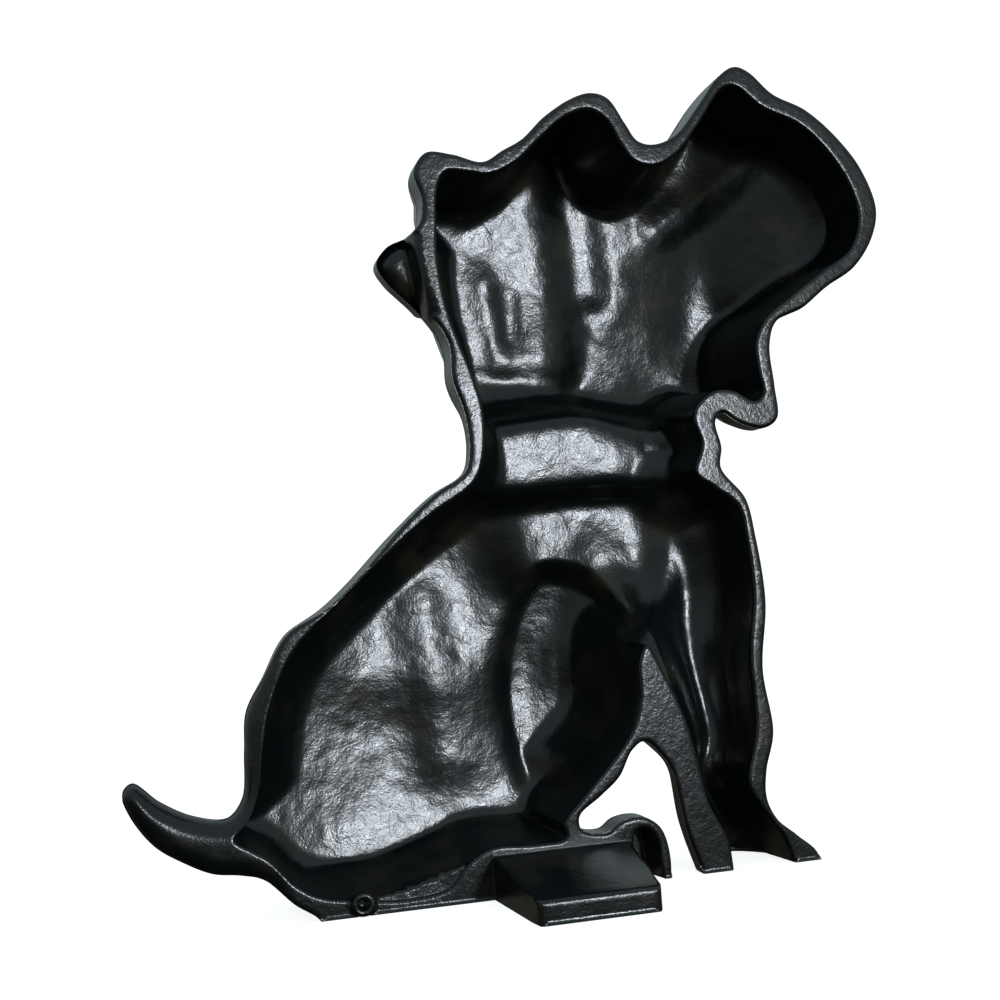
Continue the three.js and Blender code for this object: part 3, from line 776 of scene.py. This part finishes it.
class Nodes:
    """The nodes of one material."""

    def __init__(self, name):
        self.material = bpy.data.materials.new(name)
        self.material.use_nodes = True
        self.tree = self.material.node_tree
        self.shader = self.tree.nodes["Principled BSDF"]

    def link(self, target, value):
        """Links a socket, or sets a plain value."""
        if isinstance(value, Socket):
            self.tree.links.new(value.socket, target)
        else:
            target.default_value = value

    def add(self, kind, settings=None, inputs=None, output=0):
        """Adds a node: its settings first, then the values or links of its inputs."""
        node = self.tree.nodes.new(kind)
        for key, value in (settings or {}).items():
            setattr(node, key, value)
        for key, value in (inputs or {}).items():
            self.link(node.inputs[key], value)
        return Socket(self, node.outputs[output])

    def mix(self, factor, first, second):
        """Colour between two colours."""
        return self.add("ShaderNodeMix", {"data_type": "RGBA"}, {0: factor, 6: first, 7: second}, output=2)

    def noise(self, size, detail=3.0, roughness=0.5):
        """Random field from 0 to 1 whose features are about this size in mm."""
        place = self.add("ShaderNodeTexCoord", output="Object")
        inputs = {"Vector": place, "Scale": 1 / (size * MM), "Detail": detail, "Roughness": roughness}
        return self.add("ShaderNodeTexNoise", {}, inputs)


# %% The enamel
BUMP = 0.35 * MM  # height of the grain where its sum is 1
NEAR_BLACK = (0.004, 0.006, 0.0065, 1)
BROWNED = (0.020, 0.019, 0.012, 1)
ENAMEL_IOR = 1.52
LUMPS, GRAIN, PEEL = (7.0, 0.32), (1.6, 0.2), (0.55, 0.11)  # size in mm and share of the bump
WORN_SIZE, WORN_BETWEEN = 14, (0.48, 0.7)
SHEEN_SIZE, LEAST_ROUGHNESS, MORE_ROUGHNESS = 3.0, 0.17, 0.12


def black_enamel():
    """Gloss black that is browned in patches, with uneven roughness over a bump at three scales."""
    n = Nodes("black enamel over cast iron")
    cast_lumps = n.noise(LUMPS[0], roughness=0.55) * LUMPS[1]
    sand_grain = n.noise(GRAIN[0], roughness=0.6) * GRAIN[1]
    orange_peel = n.noise(PEEL[0], detail=2) * PEEL[1]
    height = cast_lumps + sand_grain + orange_peel
    n.link(n.shader.inputs["Normal"], n.add("ShaderNodeBump", {}, {"Distance": BUMP, "Height": height}))
    worn = n.noise(WORN_SIZE, detail=4).between(*WORN_BETWEEN)
    n.link(n.shader.inputs["Base Color"], n.mix(worn, NEAR_BLACK, BROWNED))
    n.link(n.shader.inputs["Roughness"], n.noise(SHEEN_SIZE) * MORE_ROUGHNESS + LEAST_ROUGHNESS)
    n.shader.inputs["IOR"].default_value = ENAMEL_IOR
    return n.material


dog.data.materials.append(black_enamel())
print("materials:", [material.name for material in dog.data.materials])

# %% [markdown]
# ## Stage, light and camera
#
# Black gloss shows only what it mirrors, so the light matters as much as the finish. One window-sized softbox gives
# the cold highlights, and a dim room gives the greys. The backdrop and the floor are kept out of the reflections.

# %% Room, window and stage
bpy.context.scene.view_settings.view_transform = "Standard"
# The room by height of the direction, from below to above: dark carpet, brown furniture, grey wall, blue-grey sky.
ROOM = {0: (0.02, 0.018, 0.015), 0.3: (0.13, 0.125, 0.10), 0.46: (0.40, 0.46, 0.44), 1: (0.55, 0.68, 0.75)}
ROOM_HEIGHTS = (-0.6, 0.8)
ROOM_STRENGTH = 0.7
WINDOW = {"at": (-0.58, 2.15, 0.27), "aim": (0, 0, 0.11), "size": (0.2, 0.22), "power": 18.0, "color": (0.86, 0.93, 1)}
STAGE = {"half": 6, "back": -1.2, "below": -0.5, "top": 5, "color": (0.8, 0.8, 0.8, 1), "glow": 0.85}


def dim_room():
    """World colour by the height of the direction looked in."""
    world = bpy.data.worlds.new("room")
    bpy.context.scene.world = world
    world.use_nodes = True
    tree = world.node_tree
    place, split, lift, ramp = (tree.nodes.new("ShaderNode" + kind)
                                for kind in ("TexCoord", "SeparateXYZ", "MapRange", "ValToRGB"))
    lift.inputs["From Min"].default_value, lift.inputs["From Max"].default_value = ROOM_HEIGHTS
    first, last = ramp.color_ramp.elements
    first.position, last.position = min(ROOM), max(ROOM)
    for stop in sorted(ROOM)[1:-1]:
        ramp.color_ramp.elements.new(stop)
    for element, stop in zip(ramp.color_ramp.elements, sorted(ROOM)):
        element.color = (*ROOM[stop], 1)
    tree.links.new(place.outputs["Generated"], split.inputs[0])
    tree.links.new(split.outputs["Z"], lift.inputs["Value"])
    tree.links.new(lift.outputs[0], ramp.inputs[0])
    tree.links.new(ramp.outputs[0], tree.nodes["Background"].inputs["Color"])
    tree.nodes["Background"].inputs["Strength"].default_value = ROOM_STRENGTH


def softbox(name, at, aim, size, power, color):
    """A rectangular lamp that faces its aim."""
    data = bpy.data.lights.new(name, "AREA")
    data.shape = "RECTANGLE"
    data.size, data.size_y, data.energy, data.color = *size, power, color
    light = bpy.data.objects.new(name, data)
    bpy.context.scene.collection.objects.link(light)
    light.location = at
    light.rotation_euler = (Vector(at) - Vector(aim)).to_track_quat("Z", "Y").to_euler()


def stage_plane(name, corners):
    """A pale glowing plane that the enamel doesn't mirror."""
    mesh = bpy.data.meshes.new(name)
    mesh.from_pydata(corners, [], [(0, 1, 2, 3)])
    plane = bpy.data.objects.new(name, mesh)
    bpy.context.scene.collection.objects.link(plane)
    n = Nodes(name)
    n.shader.inputs["Base Color"].default_value = STAGE["color"]
    n.shader.inputs["Roughness"].default_value = 1
    n.shader.inputs["Specular IOR Level"].default_value = 0
    n.shader.inputs["Emission Color"].default_value = (1, 1, 1, 1)
    n.shader.inputs["Emission Strength"].default_value = STAGE["glow"]
    mesh.materials.append(n.material)
    plane.visible_glossy = plane.visible_diffuse = False


dim_room()
softbox("window", **WINDOW)
half, back, below, top = (STAGE[key] for key in ("half", "back", "below", "top"))
stage_plane("floor", [(-half, -half, 0), (half, -half, 0), (half, half, 0), (-half, half, 0)])
stage_plane("backdrop", [(half, back, below), (-half, back, below), (-half, back, top), (half, back, top)])
print("window at", WINDOW["at"], "power", WINDOW["power"])

# %% Camera
# Degrees, and millimetres in the outline's frame.
VIEW = {"azimuth": 166.5, "elevation": -2.52, "roll": -4.04, "distance": 381.7, "target": (7.44, 0, 101.35)}
LENS, SENSOR = 53.28, 36
NEAREST = 0.01  # metres, clipping


def add_camera():
    """A camera on a sphere round its target, turned about its own axis by the roll."""
    a, e = np.radians(VIEW["azimuth"]), np.radians(VIEW["elevation"])
    out = Vector((np.sin(a) * np.cos(e), -np.cos(a) * np.cos(e), np.sin(e)))
    target = (Vector(VIEW["target"]) + Vector((side, rim_plane, 0))) * MM
    data = bpy.data.cameras.new("camera")
    data.lens, data.sensor_width, data.clip_start = LENS, SENSOR, NEAREST
    camera = bpy.data.objects.new("camera", data)
    bpy.context.scene.collection.objects.link(camera)
    turn = out.to_track_quat("Z", "Y").to_matrix().to_4x4() @ Matrix.Rotation(np.radians(VIEW["roll"]), 4, "Z")
    camera.matrix_world = Matrix.Translation(target + out * VIEW["distance"] * MM) @ turn
    bpy.context.scene.camera = camera
    return camera


camera = add_camera()
print("camera at", [round(v, 4) for v in camera.matrix_world.translation])
